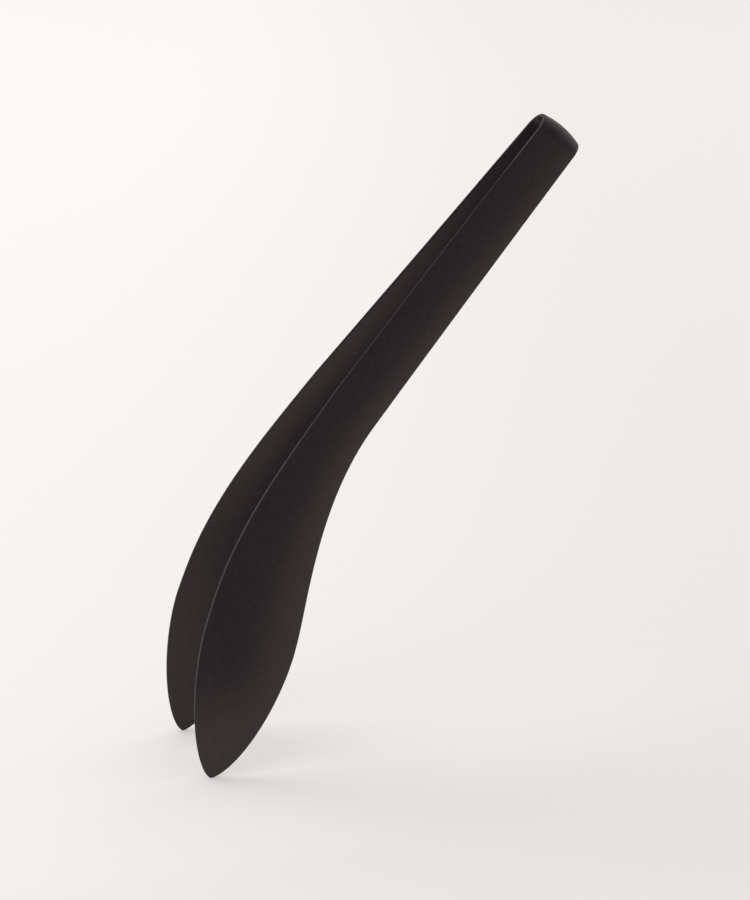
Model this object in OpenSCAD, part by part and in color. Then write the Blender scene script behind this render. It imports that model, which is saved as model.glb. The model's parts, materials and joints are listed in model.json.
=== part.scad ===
// Spring loaded kitchen tongs, bent from one strip of coated steel sheet.
//
// The strip is folded into a tight U, the spring bow, and its two arms are mirror
// images. Each arm is a guttered handle, very slightly bowed outwards, that turns sideways
// into a dished, leaf-shaped blade with a rounded tip. Squeezing the handles closes the
// tips, and the bow opens them again.
//
// Frame: the origin is the centre of the bow's bend, halfway across the strip.
// +Z is up, +X is the side the bow leans to, and Y = 0 is the mirror plane: the near
// arm is on its -Y side and the far arm on its +Y side. Both tips stand on one level.

/* [Sheet] */
// Thickness of the sheet
sheet_t = 1.1; // [0.8:0.1:1.5]
// Radius of the gutter pressed across the bow and the handles, at mid-sheet
gutter_r = 30; // [25:1:45]

/* [Spring bow] */
// Bend radius of the bow, at mid-sheet and halfway across the strip
bow_r = 5.85; // [4.5:0.05:7]
// Width of the strip at the bow
bow_w = 15.7; // [12:0.1:18]
// Angle that each arm opens away from the mirror plane where it leaves the bow
arm_spread = 3.5; // [2:0.1:6]
// Radius of the arm's gentle outward sweep, from the bow to the inward curl
sweep_r = 3900; // [2500:100:9000]

/* [Handles] */
// Length of each handle, from the bow to the start of the turn
handle_len = 105.5; // [90:0.5:108]
// Width of the strip where the handle ends
handle_w = 17.95; // [15:0.05:20]

/* [Blades] */
// Sideways turn of the blade out of the handle's line
turn_angle = 23.3; // [10:0.1:35]
// Radius of that turn, along the middle of the strip
turn_r = 183; // [150:1:250]
// Distance along the strip from the bow to where the blade starts to widen
swell_from = 110; // [109:1:130]
// Distance along the strip from the bow to the widest place of the blade
widest_at = 190.6; // [180:0.1:200]
// Width of the blade at its widest place
blade_w = 31.9; // [22:0.1:34]
// Distance along the strip from the bow to the end of the tip
tip_at = 236.4; // [225:0.1:255]
// Distance along the strip from the bow to the joint of blade and tip
tip_from = 210; // [205:1:220]
// Radius across the dished blade, at mid-sheet
dish_r = 60; // [35:1:80]
// Distance down the arm from the bow to where the blade starts to curl inwards
curl_from = 188; // [150:1:205]
// Radius of the inward curl along the blade
curl_r = 175; // [150:1:600]
// How far the tip's outline keeps its width before it narrows
tip_hold = 1.65; // [1.4:0.05:2.5]
// How bluntly the tip's outline ends, smaller is blunter
tip_taper = 0.66; // [0.5:0.01:1]

/* [Stance] */
// Lean of the handles from the vertical, in the mirror plane
lean = 40.5; // [0:0.1:60]

/* [Hidden] */
// Half-angle of the bow, from its top round to where an arm leaves it
bow_half_angle = 90 - arm_spread;
// Room left between the bow and each arm, which turns against it
bow_gap = 0.02;
// Length of the turn, along the middle of the strip
turn_len = turn_r * turn_angle * PI / 180;
// Strips that the lofted sheet is divided into across its width
strips = 8;
// Rings along the handle, along the blade up to its widest place, and from there to
// the tip's end
rings_to_turn = 12;
rings_to_widest = 18;
rings_to_tip = 20;
$fn = 96;

// ---- Shape of an arm, along the strip at distance t from the bow ----

// Cubic step from 0 to 1 as u goes from 0 to 1
function ease(u) =
    let (v = min(max(u, 0), 1))
    v * v * (3 - 2 * v);

// Progress from where the blade starts to widen to its widest place
function swell(t) = ease((t - swell_from) / (widest_at - swell_from));

// Progress from the widest place to the end of the tip
function taper(t) = min(max((t - widest_at) / (tip_at - widest_at), 0), 1);

// Half the width of the handle and the blade
function half_w(t) =
    t < handle_len ? (bow_w + (handle_w - bow_w) * t / handle_len) / 2
        : t < widest_at ? (handle_w + (blade_w - handle_w) * swell(t)) / 2
        : blade_w / 2 * pow(1 - pow(taper(t), tip_hold), tip_taper);

// Radius across the sheet, from the handle's gutter to the blade's dish
function across_r(t) = gutter_r + (dish_r - gutter_r) * swell(t);

// Sideways turn so far, in degrees
function turned(t) = min(max((t - handle_len) / turn_len, 0), 1) * turn_angle;

// Straight run past the turn
function run_on(t) = max(t - handle_len - turn_len, 0);

// Middle of the strip: how far along the handle's line, and how far to its side
function along(t) =
    min(t, handle_len) + turn_r * sin(turned(t)) + run_on(t) * cos(turn_angle);
function aside(t) = turn_r * (1 - cos(turned(t))) + run_on(t) * sin(turn_angle);

// Outward angle gained by the sweep at distance s down the arm, and lost to the curl
swept_at_curl = curl_from / sweep_r * 180 / PI;
function swept(s) = s < curl_from ? s / sweep_r * 180 / PI
    : swept_at_curl - (s - curl_from) / curl_r * 180 / PI;

// How far the sweep has led outwards and down at distance s
function sweep_out(s) = s < curl_from ? sweep_r * (1 - cos(swept(s)))
    : sweep_r * (1 - cos(swept_at_curl)) + curl_r * (cos(swept(s)) - cos(swept_at_curl));
function sweep_down(s) = s < curl_from ? sweep_r * sin(swept(s))
    : sweep_r * sin(swept_at_curl) + curl_r * (sin(swept_at_curl) - sin(swept(s)));

// Point of the sheet at distance t, x across the strip, on the layer that is
// lift outside mid-sheet
function sheet_point(t, x, lift) =
    let (
        s = along(t) - x * sin(turned(t)),
        out = bow_r - across_r(t) + sqrt(pow(across_r(t) + lift, 2) - x * x)
    )
    [
        aside(t) + x * cos(turned(t)),
        -sweep_out(s) - out * cos(swept(s)),
        -sweep_down(s) + out * sin(swept(s))
    ];

// One closed ring round the sheet: the outer layer across, then the inner one back
function ring(t) = concat(
    [for (i = [0 : strips]) sheet_point(t, half_w(t) * (2 * i / strips - 1), sheet_t / 2)],
    [for (i = [strips : -1 : 0])
        sheet_point(t, half_w(t) * (2 * i / strips - 1), -sheet_t / 2)]
);

// Distances of the rings: even up to the widest place, then closing up on the tip's end
ring_distances = concat(
    [for (i = [0 : rings_to_turn - 1]) handle_len * i / rings_to_turn],
    [for (i = [0 : rings_to_widest])
        handle_len + (widest_at - handle_len) * i / rings_to_widest],
    [for (i = [1 : rings_to_tip - 1])
        widest_at + (tip_at - widest_at) * (1 - pow(1 - i / rings_to_tip, 2))]
);

// Rings strictly inside a stretch of the arm, with one ring on each of its ends
function stretch(from, to) = concat(
    [from], [for (t = ring_distances) if (t > from && t < to) t], [to]
);

// ---- Building blocks ----

// Section of the guttered strip: middle on the Y axis at -bow_r, hollow side to +Y
module gutter_section(width) {
    intersection() {
        translate([0, gutter_r - bow_r])
            difference() {
                circle(r = gutter_r + sheet_t / 2);
                circle(r = gutter_r - sheet_t / 2);
            }
        translate([-width / 2, -bow_r - sheet_t])
            square([width, bow_r + sheet_t]);
    }
}

// Places a near arm, drawn straight down the -Z axis, at its spread and lean
module place_arm() {
    rotate([0, lean, 0])
        rotate([-arm_spread, 0, 0])
            children();
}

// Mirrors a near piece to the far side
module far_side() {
    mirror([0, 1, 0]) children();
}

// Stretch of an arm's curved sheet, lofted through its rings
module sheet_loft(from, to) {
    distances = stretch(from, to);
    corners = 2 * (strips + 1);
    last = len(distances) - 1;
    place_arm()
        polyhedron(
            points = [for (t = distances) each ring(t)],
            faces = concat(
                [[for (i = [0 : corners - 1]) i]],
                [for (r = [0 : last - 1], i = [0 : corners - 1])
                    let (next = (i + 1) % corners)
                    [
                        r * corners + i, (r + 1) * corners + i,
                        (r + 1) * corners + next, r * corners + next
                    ]],
                [[for (i = [corners - 1 : -1 : 0]) last * corners + i]]
            ),
            convexity = 4
        );
}

// ---- Sub-parts ----

// U-bend that joins the two arms and springs them open
module spring_bow() {
    color("#2b2828")
        rotate([0, lean, 0])
            rotate([0, -90, 0])
                rotate([0, 0, -bow_half_angle])
                    rotate_extrude(angle = 2 * bow_half_angle)
                        rotate([0, 0, 90])
                            gutter_section(bow_w);
}

module near_handle() {
    color("#2f2b2b") sheet_loft(bow_gap, handle_len);
}

module near_blade() {
    color("#332e2e") sheet_loft(handle_len, tip_from);
}

module near_tip() {
    color("#373131") sheet_loft(tip_from, ring_distances[len(ring_distances) - 1]);
}

module far_handle() {
    color("#2f2b2b") far_side() sheet_loft(bow_gap, handle_len);
}

module far_blade() {
    color("#332e2e") far_side() sheet_loft(handle_len, tip_from);
}

module far_tip() {
    color("#373131")
        far_side() sheet_loft(tip_from, ring_distances[len(ring_distances) - 1]);
}

spring_bow();
near_handle();
near_blade();
near_tip();
far_handle();
far_blade();
far_tip();
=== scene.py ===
"""Spring loaded kitchen tongs: the looks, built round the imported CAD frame, in metres."""
import json
import math

import bpy
import numpy as np
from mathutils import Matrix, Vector


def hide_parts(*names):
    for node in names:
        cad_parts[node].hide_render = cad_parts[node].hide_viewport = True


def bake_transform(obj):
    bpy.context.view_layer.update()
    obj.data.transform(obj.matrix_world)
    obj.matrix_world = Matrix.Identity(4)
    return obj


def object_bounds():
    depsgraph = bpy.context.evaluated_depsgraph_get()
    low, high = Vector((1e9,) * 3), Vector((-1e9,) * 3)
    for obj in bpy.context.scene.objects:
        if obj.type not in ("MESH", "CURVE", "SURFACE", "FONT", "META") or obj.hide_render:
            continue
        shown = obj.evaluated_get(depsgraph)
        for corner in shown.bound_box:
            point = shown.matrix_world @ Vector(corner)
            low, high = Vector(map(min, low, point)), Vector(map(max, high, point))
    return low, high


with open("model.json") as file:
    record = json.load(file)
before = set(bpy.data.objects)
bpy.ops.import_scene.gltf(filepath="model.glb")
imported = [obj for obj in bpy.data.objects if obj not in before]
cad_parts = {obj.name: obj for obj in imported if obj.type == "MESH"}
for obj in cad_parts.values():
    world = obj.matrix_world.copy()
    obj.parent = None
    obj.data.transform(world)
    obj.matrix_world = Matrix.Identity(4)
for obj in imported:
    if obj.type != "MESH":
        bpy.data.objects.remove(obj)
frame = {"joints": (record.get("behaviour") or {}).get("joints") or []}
cad_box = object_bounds()

MM = 0.001

# ---- The sheet's driving dimensions, as in the CAD model ----
SHEET_T = 1.1 * MM          # thickness of the sheet
GUTTER_R = 30.0 * MM        # radius across the bow and handles, at mid-sheet
DISH_R = 60.0 * MM          # radius across the blades, at mid-sheet
BOW_R = 5.85 * MM           # bend radius of the bow, at mid-sheet
BOW_W = 15.7 * MM           # width of the strip at the bow
HANDLE_W = 17.95 * MM       # width where the handle ends
BLADE_W = 31.9 * MM         # width at the blade's widest place
HANDLE_LEN = 105.5 * MM     # distances along the strip from the bow
SWELL_FROM = 110.0 * MM
WIDEST_AT = 190.6 * MM
TIP_AT = 236.4 * MM
TURN_R = 183.0 * MM         # sideways turn of the blade
TURN_ANGLE = math.radians(23.3)
TURN_LEN = TURN_R * TURN_ANGLE
ARM_SPREAD = math.radians(3.5)
SWEEP_R = 3900.0 * MM       # gentle outward sweep of the arm, down to the curl
CURL_FROM = 188.0 * MM      # distance down the arm where the inward curl starts
CURL_R = 175.0 * MM         # inward curl of the blade
TIP_HOLD = 1.65             # exponents of the tip's outline
TIP_TAPER = 0.66

# The bow's axis is the near arm's hinge axis, and it gives the handles' lean.
hinge_axis = next(j["axis"] for j in frame["joints"] if j["child"] == "near_arm")
LEAN = math.atan2(-hinge_axis[2], hinge_axis[0])

# ---- The drawn mesh ----
EDGE_R = 0.25 * MM          # rounding of the cut edges
SKIN = 0.005 * MM           # how far the drawn faces stay inside the CAD sheet
BOW_STEP = math.radians(2.0)
HANDLE_STEP = 1.5 * MM
BLADE_STEP = 1.2 * MM
TIP_STEPS = 70
TIP_BUNCHING = 2.2          # how strongly the rings close up on the tip's end
SEAM_STEPS = (0.0, 0.05, 0.2, 0.5)  # close rings at the bow's top, as shares of one bow step
ACROSS = 28                 # strips across the sheet
FACE_BUNCHING = 0.86        # how strongly those strips close up on the edges, up to 1
FILLET = 4                  # strips round each cut edge's corner
SLOPE_STEP = 1e-6           # half the step over which the outline's slope is taken
BLUNT_SLOPE = -1e6          # slope of the outline at the tip's end, where it runs square across

# ---- The coating ----
# Noises: cells per metre, octaves, roughness of the octaves
PATCHES = (38.0, 3.0, 0.55)     # broad, faintly warmer patches
GRAIN = (1300.0, 2.0, 0.60)     # fine grain of the matte coating
PEEL = (700.0, 2.0, 0.50)       # slight waviness of its surface
EDGE_PATCHES = (420.0, 4.0, 0.65)     # where the cut edge is lighter still
# Spans of those noises that make a change from nothing to all
PATCH_SPAN = (0.30, 0.70)
GRAIN_SPAN = (0.38, 0.68)
EDGE_PATCH_SPAN = (0.30, 0.62)
ROUGH_PATCH_SPAN = (0.25, 0.75)
ROUGH_GRAIN_SPAN = (0.30, 0.70)
GRAIN_SHARE = 0.75              # how much of the grain's own colour shows at most
EDGE_PATCH_LEAST = 0.55              # lightening between those patches
PATCH_ROUGH = 0.03              # how far the patches and the grain change the roughness
GRAIN_ROUGH = 0.04
FINE_BUMP = (0.35, 0.012 * MM)  # strength and depth
BROAD_BUMP = (0.50, 0.020 * MM)

SPECK_CELLS = 160.0             # cells per metre, each with one place for a dust speck
SPECK_R = 0.16 * MM
SPECK_CORE = 0.6                # share of a speck's radius that is evenly dusty
RARITY_NOISE = (80.0, 0.0, 0.5) # chooses the cells that do hold one
RARITY = 0.60                   # higher leaves fewer specks
DUST_SHARE = 0.8

COAT_COOL = (0.0165, 0.0156, 0.0182, 1.0)
COAT_WARM = (0.0205, 0.0176, 0.0188, 1.0)
COAT_GRAIN = (0.0330, 0.0290, 0.0310, 1.0)
# lighter colour of the cut edge, on the bow and along the blade
COAT_EDGE_LIGHTER = (0.0680, 0.0630, 0.0610, 1.0)
DUST = (0.1600, 0.1500, 0.1400, 1.0)
SHEEN_TINT = (1.0, 0.74, 0.74, 1.0)
FACE_ROUGH, FACE_SPECULAR = 0.40, 0.50
EDGE_ROUGH, EDGE_SPECULAR = 0.55, 0.09
EDGE_LIGHTER_BOW = (4.0 * MM, 22.0 * MM)       # where the edge's lighter colour fades, below the bow
EDGE_LIGHTER_BLADE = (85.0 * MM, 150.0 * MM)   # where it builds up again, along the blade

# ---- The stage ----
FLOOR_REACH = 6.0
PAPER = (0.86, 0.845, 0.835, 1.0)
PAPER_ROUGH, PAPER_SPECULAR = 0.9, 0.2
TO_THE_BACK = (0.0, 1.0, 0.0)
PAINTED_GLOW_SPAN = (-0.15, 1.60)              # painted light: the paper's own glow is a little stronger towards the back
PAINTED_GLOW_FRONT, PAINTED_GLOW_BACK = 0.362, 0.415
TO_THE_RIGHT = (0.96, -0.28, 0.0)
PAINTED_SHADE_SPAN = (-0.25, 0.12)              # painted shade: the glow is a little weaker towards the right
PAINTED_SHADE_RIGHT = 0.088
# painted light: the faintly rosy, dimmer colour of the paper's glow in front
PAINTED_GLOW_ROSY = (0.80, 0.740, 0.740, 1.0)
TO_THE_FRONT = (0.48, -1.14, 0.0)      # towards the front, and a little to the right
PAINTED_ROSY_SPAN = (-0.02, 0.08)              # where the painted glow turns faintly rosy and dimmer, towards the front

CARD_Z = cad_box[0].z + 1.0 * MM       # just above the floor
CARD_SIDE = 4.0
CARD_END = -5.0
CARD_ROUGH = 0.9
CARD_CHANGE = -0.85                    # where the darker card gives way to the paler one
NEAR_CARD_SHADE, FAR_CARD_SHADE = 0.10, 0.70
# The darker card starts close to the blades, and farther off to the right of them.
NEAR_CARD_EDGE = ((-CARD_SIDE, -0.09), (-0.07, -0.09), (0.14, -0.46), (CARD_SIDE, -0.46))
FAR_CARD_EDGE = ((-CARD_SIDE, CARD_CHANGE), (CARD_SIDE, CARD_CHANGE))

KEY_AT, KEY_AIM = (-1.9, 1.3, 1.3), (-0.5, 0.6, -0.2)
KEY_SIZE, KEY_WATTS = (1.8, 1.4), 9
ROOM_FRONT = Vector((0.30, -0.94, 0.10)).normalized()
ROOM_SPAN = (0.25, 0.80)               # how squarely to the front the room turns dim
ROOM_BRIGHT, ROOM_DIM = 0.78, 0.14
ROOM_COLOUR = (1.0, 0.99, 0.98, 1.0)

# ---- The camera ----
CAMERA_AZ, CAMERA_EL = math.radians(-16.13), math.radians(16.0)
CAMERA_DISTANCE = 0.900
CAMERA_AIM = Vector((-0.05893, 0.0, -0.09915))
SENSOR_MM, LENS_MM = 36.0, 109.8


# ---- Shape of the strip, t along it from the bow and x across it ----
def ease(u):
    """Cubic step from 0 to 1 as u goes from 0 to 1."""
    u = np.clip(u, 0.0, 1.0)
    return u * u * (3.0 - 2.0 * u)


def swell(t):
    """Progress from where the blade starts to widen to its widest place."""
    return ease((t - SWELL_FROM) / (WIDEST_AT - SWELL_FROM))


def half_width(t):
    handle = BOW_W + (HANDLE_W - BOW_W) * np.clip(t / HANDLE_LEN, 0.0, 1.0)
    body = handle + (BLADE_W - HANDLE_W) * swell(t)
    u = np.clip((t - WIDEST_AT) / (TIP_AT - WIDEST_AT), 0.0, 1.0)
    return 0.5 * body * (1.0 - u ** TIP_HOLD) ** TIP_TAPER


def across_radius(t):
    return GUTTER_R + (DISH_R - GUTTER_R) * swell(t)


def turned_by(angle, a, b):
    """The pair a, b turned by an angle from b towards a."""
    c, s = math.cos(angle), math.sin(angle)
    return a * c + b * s, b * c - a * s


def sheet_points(t, x, lift):
    """Points of the near arm, lift outside mid-sheet, in the row frame. t < 0 goes round the bow."""
    radius = across_radius(t)
    turned = np.clip((t - HANDLE_LEN) / TURN_LEN, 0.0, 1.0) * TURN_ANGLE
    run_on = np.clip(t - HANDLE_LEN - TURN_LEN, 0.0, None)
    along = np.clip(t, 0.0, HANDLE_LEN) + TURN_R * np.sin(turned) + run_on * math.cos(TURN_ANGLE)
    aside = TURN_R * (1.0 - np.cos(turned)) + run_on * math.sin(TURN_ANGLE)
    out = BOW_R - radius + np.sqrt((radius + lift) ** 2 - x * x)
    # Down the arm the sheet sweeps outwards, then curls inwards.
    down = along - x * np.sin(turned)
    at_curl = CURL_FROM / SWEEP_R
    swept = np.clip(down, None, CURL_FROM) / SWEEP_R
    curled = np.clip(down - CURL_FROM, 0.0, None) / CURL_R
    sweep_out = SWEEP_R * (1.0 - np.cos(swept))
    sweep_out = sweep_out + CURL_R * (np.cos(at_curl - curled) - math.cos(at_curl))
    sweep_down = SWEEP_R * np.sin(swept)
    sweep_down = sweep_down + CURL_R * (math.sin(at_curl) - np.sin(at_curl - curled))
    # Before t = 0 it turns round the bow's axis instead.
    in_bow = t <= 0.0
    swept = np.where(in_bow, -np.clip(t, None, 0.0) / BOW_R, swept - curled)
    sweep_out = np.where(in_bow, 0.0, sweep_out)
    sweep_down = np.where(in_bow, 0.0, sweep_down)
    px = aside + x * np.cos(turned)
    py = -sweep_out - out * np.cos(swept)
    pz = -sweep_down + out * np.sin(swept)
    py, pz = turned_by(ARM_SPREAD, py, pz)
    px, pz = turned_by(LEAN, px, pz)
    return np.stack([px, py, pz], axis=-1)


def edge_lightening(t):
    """How much lighter the cut edge is coloured: on the bow and along the blade, and not on the handle.
    """
    bow = 1.0 - ease((t - EDGE_LIGHTER_BOW[0]) / (EDGE_LIGHTER_BOW[1] - EDGE_LIGHTER_BOW[0]))
    blade = ease((t - EDGE_LIGHTER_BLADE[0]) / (EDGE_LIGHTER_BLADE[1] - EDGE_LIGHTER_BLADE[0]))
    return np.maximum(bow, blade)


# ---- The strip's mesh ----
def ring_distances():
    """Where the rings lie: round the bow from its top, down the handle, along the blade to the tip."""
    bow_len = BOW_R * (math.pi / 2.0 - ARM_SPREAD)
    steps = math.ceil(bow_len / BOW_R / BOW_STEP)
    bow = np.linspace(-bow_len, 0.0, steps, endpoint=False)
    # Close rings at the top let the two halves of the bow meet without a crease.
    seam = -bow_len + (bow[1] + bow_len) * np.array(SEAM_STEPS)
    handle = np.arange(0.0, HANDLE_LEN, HANDLE_STEP)
    blade = np.arange(HANDLE_LEN, WIDEST_AT, BLADE_STEP)
    closing_up = 1.0 - (1.0 - np.linspace(0.0, 1.0, TIP_STEPS)) ** TIP_BUNCHING
    tip = WIDEST_AT + (TIP_AT - WIDEST_AT) * closing_up
    return np.concatenate([seam, bow[1:], handle, blade, tip])


def strip_columns(t):
    """Lines of points along the strip, going once round its section, and which are on a cut edge."""
    w = half_width(t)
    slope = (half_width(t + SLOPE_STEP) - half_width(t - SLOPE_STEP)) / (2.0 * SLOPE_STEP)
    slope[-1] = BLUNT_SLOPE
    # Direction across the outline, and the outline drawn in by the edge's rounding
    normal_x = 1.0 / np.sqrt(1.0 + slope ** 2)
    normal_t = -slope * normal_x
    t_in = np.maximum.accumulate(t - EDGE_R * normal_t)
    x_in = w - EDGE_R * normal_x
    x_in[-1] = 0.0
    x_in = np.maximum(x_in, 0.0)

    flat = SHEET_T / 2.0 - SKIN
    bunch = math.pi / 2.0 * FACE_BUNCHING
    shares = np.sin(np.linspace(-1.0, 1.0, ACROSS + 1) * bunch) / math.sin(bunch)
    corner = np.linspace(0.0, math.pi / 2.0, FILLET + 1)
    rim = [(EDGE_R * math.sin(a), flat - EDGE_R * (1.0 - math.cos(a))) for a in corner[1:]]
    rim += [(out, -lift) for out, lift in reversed(rim)]

    def rim_columns(sign, steps):
        return [
            sheet_points(t_in + out * normal_t, sign * (x_in + out * normal_x), lift)
            for out, lift in steps
        ]

    outer = [sheet_points(t_in, x_in * share, flat) for share in shares]
    inner = [sheet_points(t_in, x_in * share, -flat) for share in shares[::-1]]
    columns = outer + rim_columns(1.0, rim) + inner + rim_columns(-1.0, rim[::-1])
    face, cut = [0.0] * len(outer), [1.0] * len(rim)
    return columns, np.array(face + cut + face + cut, np.float32)


def add_object(name, data):
    obj = bpy.data.objects.new(name, data)
    bpy.context.scene.collection.objects.link(obj)
    return obj


def arm_strip(name, side):
    """Half of the strip, from the bow's top to one tip: two faces joined by a rounded cut edge."""
    t = ring_distances()
    columns, on_edge = strip_columns(t)
    grid = np.stack(columns, axis=1)
    if side > 0:
        grid = grid * np.array([1.0, -1.0, 1.0])
    rings, cols = grid.shape[:2]
    verts = grid.reshape(-1, 3)
    faces = []
    for ring in range(0, (rings - 1) * cols, cols):
        for c in range(cols):
            n = (c + 1) % cols
            faces.append((ring + c, ring + n, ring + cols + n, ring + cols + c))
    faces.append(tuple(range(cols))[::-1])
    if side > 0:
        faces = [face[::-1] for face in faces]

    mesh = bpy.data.meshes.new(name)
    mesh.from_pydata([tuple(v) for v in verts], [], faces)
    mesh.validate()
    mesh.update()
    # Material 0 is on the faces and material 1 on the cut edges; the last polygon is the flat cap.
    beside_edge = np.maximum(on_edge, np.roll(on_edge, -1)) > 0.0
    cap = len(faces) - 1
    for i, polygon in enumerate(mesh.polygons):
        polygon.use_smooth = i != cap
        polygon.material_index = int(i != cap and beside_edge[i % cols])
    # The first ring, round the cap, stays sharp.
    for e in mesh.edges:
        if max(e.vertices) < cols:
            e.use_edge_sharp = True
    lightening_layer = mesh.attributes.new("edge", "FLOAT", "POINT")
    lightening_layer.data.foreach_set("value", (edge_lightening(t)[:, None] * on_edge).astype(np.float32).reshape(-1))
    rest = mesh.attributes.new("rest", "FLOAT_VECTOR", "POINT")
    rest.data.foreach_set("vector", verts.astype(np.float32).reshape(-1))
    return add_object(name, mesh)


# ---- Helpers for shader nodes: each adds one node to a tree and returns its output ----
def feed(tree, socket, value):
    """Gives a socket a number or a colour, or links another node's output to it."""
    if isinstance(value, bpy.types.NodeSocket):
        tree.links.new(value, socket)
    else:
        socket.default_value = value


def noise(tree, place, kind):
    node = tree.nodes.new("ShaderNodeTexNoise")
    for key, number in zip(("Scale", "Detail", "Roughness"), kind):
        node.inputs[key].default_value = number
    tree.links.new(place, node.inputs["Vector"])
    return node.outputs["Fac"]


def spanned(tree, value, span, low, high, smooth=False):
    """Low where the value is at the start of the span, and high at its end."""
    node = tree.nodes.new("ShaderNodeMapRange")
    node.interpolation_type = "SMOOTHSTEP" if smooth else "LINEAR"
    for key, number in zip(("From Min", "From Max", "To Min", "To Max"), (*span, low, high)):
        node.inputs[key].default_value = number
    tree.links.new(value, node.inputs["Value"])
    return node.outputs["Result"]


def maths(tree, operation, a, b):
    node = tree.nodes.new("ShaderNodeMath")
    node.operation = operation
    feed(tree, node.inputs[0], a)
    feed(tree, node.inputs[1], b)
    return node.outputs["Value"]


def mixed(tree, share, a, b):
    """Colour a where the share is 0 and colour b where it is 1."""
    node = tree.nodes.new("ShaderNodeMix")
    node.data_type = "RGBA"
    colour_a, colour_b = [s for s in node.inputs if s.type == "RGBA"]
    feed(tree, node.inputs["Factor"], share)
    feed(tree, colour_a, a)
    feed(tree, colour_b, b)
    return next(s for s in node.outputs if s.type == "RGBA")


def toward(tree, vector, direction):
    """How far a vector points in a direction."""
    node = tree.nodes.new("ShaderNodeVectorMath")
    node.operation = "DOT_PRODUCT"
    node.inputs[1].default_value = direction
    tree.links.new(vector, node.inputs[0])
    return node.outputs["Value"]


def bumped(tree, height, kind, normal=None):
    node = tree.nodes.new("ShaderNodeBump")
    node.inputs["Strength"].default_value, node.inputs["Distance"].default_value = kind
    tree.links.new(height, node.inputs["Height"])
    if normal:
        tree.links.new(normal, node.inputs["Normal"])
    return node.outputs["Normal"]


def attribute(tree, name, output):
    node = tree.nodes.new("ShaderNodeAttribute")
    node.attribute_name = name
    return node.outputs[output]


# ---- Materials ----
def new_material(name):
    mat = bpy.data.materials.new(name)
    mat.use_nodes = True
    return mat, mat.node_tree, mat.node_tree.nodes["Principled BSDF"]


def dusting(tree, place):
    """Share of dust at a place: a few tiny specks, far apart."""
    cells = tree.nodes.new("ShaderNodeTexVoronoi")
    cells.inputs["Scale"].default_value = SPECK_CELLS
    tree.links.new(place, cells.inputs["Vector"])
    radius = SPECK_R * SPECK_CELLS
    speck = spanned(tree, cells.outputs["Distance"], (radius * SPECK_CORE, radius), 1.0, 0.0)
    chosen = maths(tree, "GREATER_THAN", noise(tree, place, RARITY_NOISE), RARITY)
    return maths(tree, "MULTIPLY", maths(tree, "MULTIPLY", speck, chosen), DUST_SHARE)


def coated_steel(name, roughness, specular):
    """Matte black coating on sheet steel: fine grain, faint patches, a few specks, cut edges lighter in
    places.
    """
    mat, tree, bsdf = new_material(name)
    place = attribute(tree, "rest", "Vector")
    patches, grain = noise(tree, place, PATCHES), noise(tree, place, GRAIN)
    peel, edge_patches = noise(tree, place, PEEL), noise(tree, place, EDGE_PATCHES)
    edge_patching = spanned(tree, edge_patches, EDGE_PATCH_SPAN, EDGE_PATCH_LEAST, 1.0)
    lighter_edge_mix = maths(tree, "MULTIPLY", attribute(tree, "edge", "Fac"), edge_patching)

    colour = mixed(tree, spanned(tree, patches, PATCH_SPAN, 0.0, 1.0), COAT_COOL, COAT_WARM)
    colour = mixed(tree, spanned(tree, grain, GRAIN_SPAN, 0.0, GRAIN_SHARE), colour, COAT_GRAIN)
    colour = mixed(tree, lighter_edge_mix, colour, COAT_EDGE_LIGHTER)
    feed(tree, bsdf.inputs["Base Color"], mixed(tree, dusting(tree, place), colour, DUST))

    by_patch = spanned(tree, patches, ROUGH_PATCH_SPAN, roughness - PATCH_ROUGH, roughness + PATCH_ROUGH)
    by_grain = spanned(tree, grain, ROUGH_GRAIN_SPAN, -GRAIN_ROUGH, GRAIN_ROUGH)
    feed(tree, bsdf.inputs["Roughness"], maths(tree, "ADD", by_patch, by_grain))
    bsdf.inputs["Specular IOR Level"].default_value = specular
    bsdf.inputs["Specular Tint"].default_value = SHEEN_TINT

    normal = bumped(tree, grain, FINE_BUMP)
    feed(tree, bsdf.inputs["Normal"], bumped(tree, peel, BROAD_BUMP, normal))
    return mat


def paper():
    """Pale paper with a painted glow of its own: stronger to the back and left, painted shade to the
    right, faintly rosy in front.
    """
    mat, tree, bsdf = new_material("paper")
    bsdf.inputs["Base Color"].default_value = PAPER
    bsdf.inputs["Roughness"].default_value = PAPER_ROUGH
    bsdf.inputs["Specular IOR Level"].default_value = PAPER_SPECULAR
    where = tree.nodes.new("ShaderNodeTexCoord").outputs["Object"]
    backness, rightness, frontness = (
        toward(tree, where, direction) for direction in (TO_THE_BACK, TO_THE_RIGHT, TO_THE_FRONT)
    )
    glow = spanned(tree, backness, PAINTED_GLOW_SPAN, PAINTED_GLOW_FRONT, PAINTED_GLOW_BACK, smooth=True)
    painted_shade = spanned(tree, rightness, PAINTED_SHADE_SPAN, 0.0, PAINTED_SHADE_RIGHT, smooth=True)
    painted_rosy_share = spanned(tree, frontness, PAINTED_ROSY_SPAN, 0.0, 1.0, smooth=True)
    feed(tree, bsdf.inputs["Emission Strength"], maths(tree, "SUBTRACT", glow, painted_shade))
    feed(tree, bsdf.inputs["Emission Color"], mixed(tree, painted_rosy_share, PAPER, PAINTED_GLOW_ROSY))
    return mat


def card(name, shade):
    mat, _, bsdf = new_material(name)
    bsdf.inputs["Base Color"].default_value = (shade, shade, shade, 1.0)
    bsdf.inputs["Roughness"].default_value = CARD_ROUGH
    return mat


# ---- The stage's pieces ----
def flat_sheet(name, outline, z, material):
    """A flat polygon at one level, facing up."""
    mesh = bpy.data.meshes.new(name)
    mesh.from_pydata([(x, y, z) for x, y in outline], [], [tuple(range(len(outline)))])
    mesh.materials.append(material)
    return add_object(name, mesh)


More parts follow.
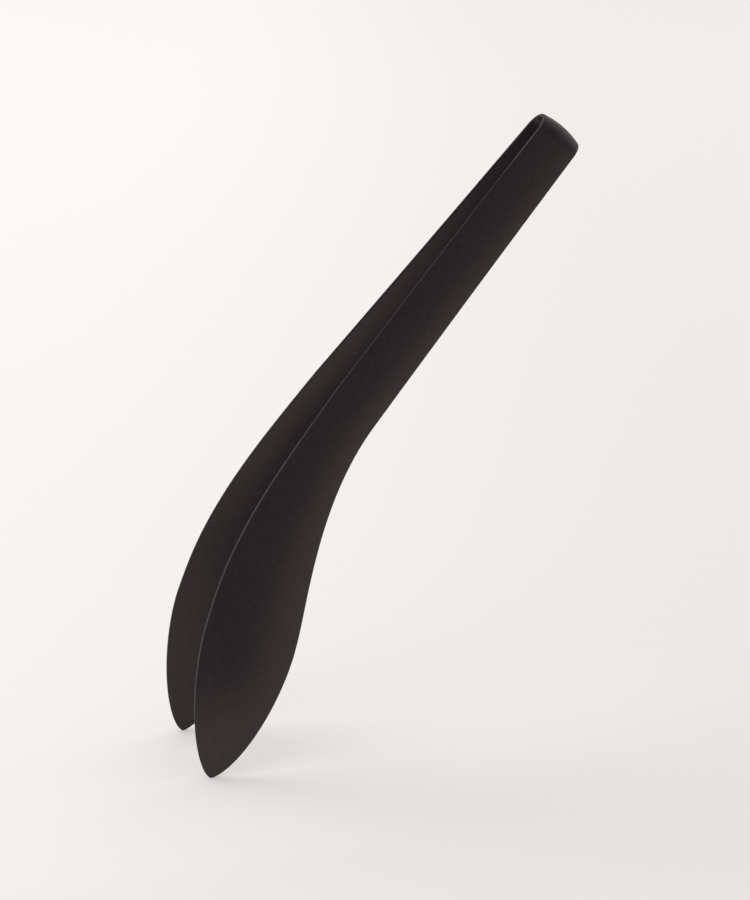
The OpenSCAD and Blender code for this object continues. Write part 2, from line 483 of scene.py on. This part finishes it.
def floor():
    reach = FLOOR_REACH
    corners = ((-reach, -reach), (reach, -reach), (reach, reach), (-reach, reach))
    flat_sheet("floor", corners, cad_box[0].z, paper())


def reflection_card(name, edge, end, shade):
    """Painted reflection: a card out of the picture that only reflections see, as the dim front of the
    room.
    """
    outline = ((-CARD_SIDE, end), (CARD_SIDE, end), *reversed(edge))
    obj = flat_sheet(name, outline, CARD_Z, card(name, shade))
    obj.visible_camera = False
    obj.visible_diffuse = False
    obj.visible_shadow = False


def key_light():
    light = bpy.data.lights.new("key", "AREA")
    light.shape = "RECTANGLE"
    light.size, light.size_y = KEY_SIZE
    light.energy = KEY_WATTS
    obj = add_object("key", light)
    obj.location = KEY_AT
    obj.rotation_euler = (Vector(KEY_AIM) - Vector(KEY_AT)).to_track_quat("-Z", "Y").to_euler()


def studio_world():
    """A pale studio behind and above, and a dim room in front."""
    world = bpy.data.worlds.new("studio")
    bpy.context.scene.world = world
    world.use_nodes = True
    tree = world.node_tree
    background = tree.nodes["Background"]
    where = tree.nodes.new("ShaderNodeTexCoord").outputs["Generated"]
    frontness = toward(tree, where, ROOM_FRONT)
    strength = spanned(tree, frontness, ROOM_SPAN, ROOM_BRIGHT, ROOM_DIM, smooth=True)
    feed(tree, background.inputs["Strength"], strength)
    background.inputs["Color"].default_value = ROOM_COLOUR


def camera():
    data = bpy.data.cameras.new("camera")
    data.sensor_width = SENSOR_MM
    data.lens = LENS_MM
    back = Vector((
        math.sin(CAMERA_AZ) * math.cos(CAMERA_EL),
        -math.cos(CAMERA_AZ) * math.cos(CAMERA_EL),
        math.sin(CAMERA_EL),
    ))
    obj = add_object("camera", data)
    obj.location = CAMERA_AIM + back * CAMERA_DISTANCE
    obj.rotation_euler = (-back).to_track_quat("-Z", "Y").to_euler()
    bpy.context.scene.camera = obj


# ---- Building it all ----
near = arm_strip("near_strip", -1)
far = arm_strip("far_strip", 1)
coat = coated_steel("coated_steel", FACE_ROUGH, FACE_SPECULAR)
edge_coat = coated_steel("coated_edge", EDGE_ROUGH, EDGE_SPECULAR)
for strip in (near, far):
    strip.data.materials.append(coat)
    strip.data.materials.append(edge_coat)

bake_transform(near)
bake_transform(far)
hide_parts("spring_bow", "near_handle", "near_blade", "near_tip")
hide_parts("far_handle", "far_blade", "far_tip")

floor()
# painted reflections: a darker card near the blades and a paler one farther off
reflection_card("near_card", NEAR_CARD_EDGE, CARD_CHANGE, NEAR_CARD_SHADE)
reflection_card("far_card", FAR_CARD_EDGE, CARD_END, FAR_CARD_SHADE)
key_light()
studio_world()
bpy.context.scene.view_settings.view_transform = "Standard"
camera()
